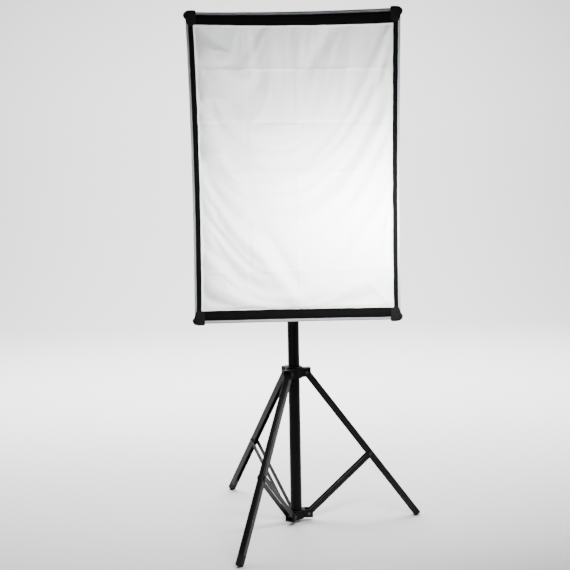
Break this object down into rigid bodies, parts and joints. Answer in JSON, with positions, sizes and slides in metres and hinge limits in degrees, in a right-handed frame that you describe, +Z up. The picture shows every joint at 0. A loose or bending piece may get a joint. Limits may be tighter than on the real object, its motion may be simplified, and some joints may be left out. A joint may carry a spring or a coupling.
{
  "type": "softbox on light stand",
  "caption": "Rectangular cloth softbox with a white front diffuser on a tilting lamp head, carried by a telescopic folding tripod light stand.",
  "frame": {"origin": "on the column's axis, at the level of the floor that the feet stand on", "axes": "+Z up the column, -Y the way the softbox faces, +X to the right when looking at its front"},
  "size_m": [0.7397, 0.7999, 1.6408],
  "materials": {
    "black_steel": "satin black powder coat",
    "black_leg_steel": "semi-gloss black paint",
    "black_nylon": "moulded, fine grain",
    "knob_plastic": "moulded, fine grain",
    "rivet_steel": "plain steel",
    "foot_rubber": "matt black rubber",
    "bush_nylon": "plain nylon",
    "plated_steel": "bright plated",
    "mount_alloy": "black coated casting",
    "housing_plastic": "moulded, fine grain",
    "gland_rubber": "matt",
    "terminal_plastic": "plain",
    "switch_plastic": "gloss",
    "rocker_plastic": "gloss red",
    "holder_plastic": "plain",
    "cap_metal": "bright",
    "globe_opal": "opal white",
    "rod_steel": "spring steel",
    "shell_cloth": "black woven nylon, silver coated inside",
    "silver_cloth": "silver coated nylon",
    "black_webbing": "hook-and-loop tape and woven binding",
    "white_cloth": "thin white nylon"
  },
  "bodies": {
    "stand_column": {"lower_tube": "black_steel", "lower_tube_plug": "black_nylon", "brace_collar": "black_nylon", "brace_collar_rivets": "rivet_steel", "lower_lock": "black_nylon"},
    "lower_lock_knob": {"lower_lock_knob": "knob_plastic"},
    "leg_hub": {"leg_hub": "black_nylon", "leg_hub_rivets": "rivet_steel"},
    "leg_hub_knob": {"leg_hub_knob": "knob_plastic"},
    "leg_right": {"leg_right": "black_leg_steel", "foot_right": "foot_rubber"},
    "brace_right": {"brace_right": "black_leg_steel", "brace_rivets_right": "rivet_steel"},
    "leg_left": {"leg_left": "black_leg_steel", "foot_left": "foot_rubber"},
    "brace_left": {"brace_left": "black_leg_steel", "brace_rivets_left": "rivet_steel"},
    "leg_front": {"leg_front": "black_leg_steel", "foot_front": "foot_rubber"},
    "brace_front": {"brace_front": "black_leg_steel", "brace_rivets_front": "rivet_steel"},
    "middle_section": {"middle_tube": "black_steel", "middle_tube_bush": "bush_nylon", "middle_lock": "black_nylon"},
    "middle_lock_knob": {"middle_lock_knob": "knob_plastic"},
    "top_section": {"top_tube": "black_steel", "top_tube_bush": "bush_nylon", "spigot": "plated_steel"},
    "tilt_mount": {"tilt_mount": "mount_alloy"},
    "tilt_mount_knob": {"tilt_mount_knob": "knob_plastic"},
    "lamp_head": {"tilt_bolt": "rivet_steel", "lamp_housing": "housing_plastic", "rear_cover": "housing_plastic", "terminal_block": "terminal_plastic", "cord_gland": "gland_rubber", "switch_frames": "switch_plastic", "lamp_holders": "holder_plastic", "bulb_caps": "cap_metal", "bulb_globes": "globe_opal", "speed_ring": "mount_alloy", "speed_ring_screws": "rivet_steel", "rod_lower_left": "rod_steel", "rod_lower_right": "rod_steel", "rod_upper_left": "rod_steel", "rod_upper_right": "rod_steel", "rear_panel": "shell_cloth", "wall_left": "shell_cloth", "wall_right": "shell_cloth", "wall_top": "shell_cloth", "wall_bottom": "shell_cloth", "rim_band": "silver_cloth", "hook_tape": "black_webbing", "corner_tabs": "black_webbing"},
    "tilt_lever": {"tilt_lever": "knob_plastic"},
    "rocker_left": {"rocker_left": "rocker_plastic"},
    "rocker_right": {"rocker_right": "rocker_plastic"},
    "diffuser": {"diffuser_panel": "white_cloth", "diffuser_border": "black_webbing", "diffuser_hem": "white_cloth"}
  },
  "joints": [
    {"name": "hub_slide", "type": "slide", "parent": "stand_column", "child": "leg_hub", "axis": [0, 0, 1], "range_m": [0, 0.16608]},
    {"name": "leg_right_fold", "type": "hinge", "parent": "leg_hub", "child": "leg_right", "pos_m": [0.04292, 0.00263, 0.52], "axis": [-0.061, 0.9981, 0], "range_deg": [0, 36.62]},
    {"name": "brace_right_fold", "type": "hinge", "parent": "stand_column", "child": "brace_right", "pos_m": [0.04292, 0.00263, 0.028], "axis": [0.061, -0.9981, 0], "range_deg": [0, 47.2]},
    {"name": "leg_left_fold", "type": "hinge", "parent": "leg_hub", "child": "leg_left", "pos_m": [-0.02373, 0.03586, 0.52], "axis": [-0.8339, -0.5519, 0], "range_deg": [0, 36.62]},
    {"name": "brace_left_fold", "type": "hinge", "parent": "stand_column", "child": "brace_left", "pos_m": [-0.02373, 0.03586, 0.028], "axis": [0.8339, 0.5519, 0], "range_deg": [0, 47.2]},
    {"name": "leg_front_fold", "type": "hinge", "parent": "leg_hub", "child": "leg_front", "pos_m": [-0.01919, -0.03848, 0.52], "axis": [0.8949, -0.4462, 0], "range_deg": [0, 36.62]},
    {"name": "brace_front_fold", "type": "hinge", "parent": "stand_column", "child": "brace_front", "pos_m": [-0.01919, -0.03848, 0.028], "axis": [-0.8949, 0.4462, 0], "range_deg": [0, 47.2]},
    {"name": "middle_slide", "type": "slide", "parent": "stand_column", "child": "middle_section", "axis": [0, 0, 1], "range_m": [-0.12, 0.4]},
    {"name": "top_slide", "type": "slide", "parent": "middle_section", "child": "top_section", "axis": [0, 0, 1], "range_m": [-0.084, 0.4]},
    {"name": "head_swivel", "type": "hinge", "parent": "top_section", "child": "tilt_mount", "pos_m": [0, 0, 1.04], "axis": [0, 0, 1], "continuous": true},
    {"name": "head_tilt", "type": "hinge", "parent": "tilt_mount", "child": "lamp_head", "pos_m": [0, 0, 1.112], "axis": [1, 0, 0], "range_deg": [-60, 25]},
    {"name": "diffuser_pull", "type": "slide", "parent": "lamp_head", "child": "diffuser", "axis": [0, -1, 0], "range_m": [0, 0.25]},
    {"name": "leg_hub_knob_turn", "type": "hinge", "parent": "leg_hub", "child": "leg_hub_knob", "pos_m": [0, 0, 0.52], "axis": [0.4462, 0.8949, 0], "range_deg": [0, 360]},
    {"name": "lower_lock_knob_turn", "type": "hinge", "parent": "stand_column", "child": "lower_lock_knob", "pos_m": [0, 0, 0.746], "axis": [0, 1, 0], "range_deg": [0, 360]},
    {"name": "middle_lock_knob_turn", "type": "hinge", "parent": "middle_section", "child": "middle_lock_knob", "pos_m": [0, 0, 0.916], "axis": [0, 1, 0], "range_deg": [0, 360]},
    {"name": "tilt_mount_knob_turn", "type": "hinge", "parent": "tilt_mount", "child": "tilt_mount_knob", "pos_m": [0, 0, 1.0383], "axis": [1, 0, 0], "range_deg": [0, 360]},
    {"name": "tilt_lever_turn", "type": "hinge", "parent": "lamp_head", "child": "tilt_lever", "pos_m": [-0.025, 0, 1.112], "axis": [-1, 0, 0], "range_deg": [0, 75]},
    {"name": "rocker_left_press", "type": "hinge", "parent": "lamp_head", "child": "rocker_left", "pos_m": [-0.02, 0.0783, 1.205], "axis": [1, 0, 0], "range_deg": [0, 16]},
    {"name": "rocker_right_press", "type": "hinge", "parent": "lamp_head", "child": "rocker_right", "pos_m": [0.02, 0.0783, 1.205], "axis": [1, 0, 0], "range_deg": [0, 16]}
  ],
  "couplings": [
    {"joint": "leg_right_fold", "follows": "hub_slide", "rad_per_m": 3.8462},
    {"joint": "brace_right_fold", "follows": "hub_slide", "rad_per_m": 4.9578},
    {"joint": "leg_left_fold", "follows": "hub_slide", "rad_per_m": 3.8462},
    {"joint": "brace_left_fold", "follows": "hub_slide", "rad_per_m": 4.9578},
    {"joint": "leg_front_fold", "follows": "hub_slide", "rad_per_m": 3.8462},
    {"joint": "brace_front_fold", "follows": "hub_slide", "rad_per_m": 4.9578}
  ]
}
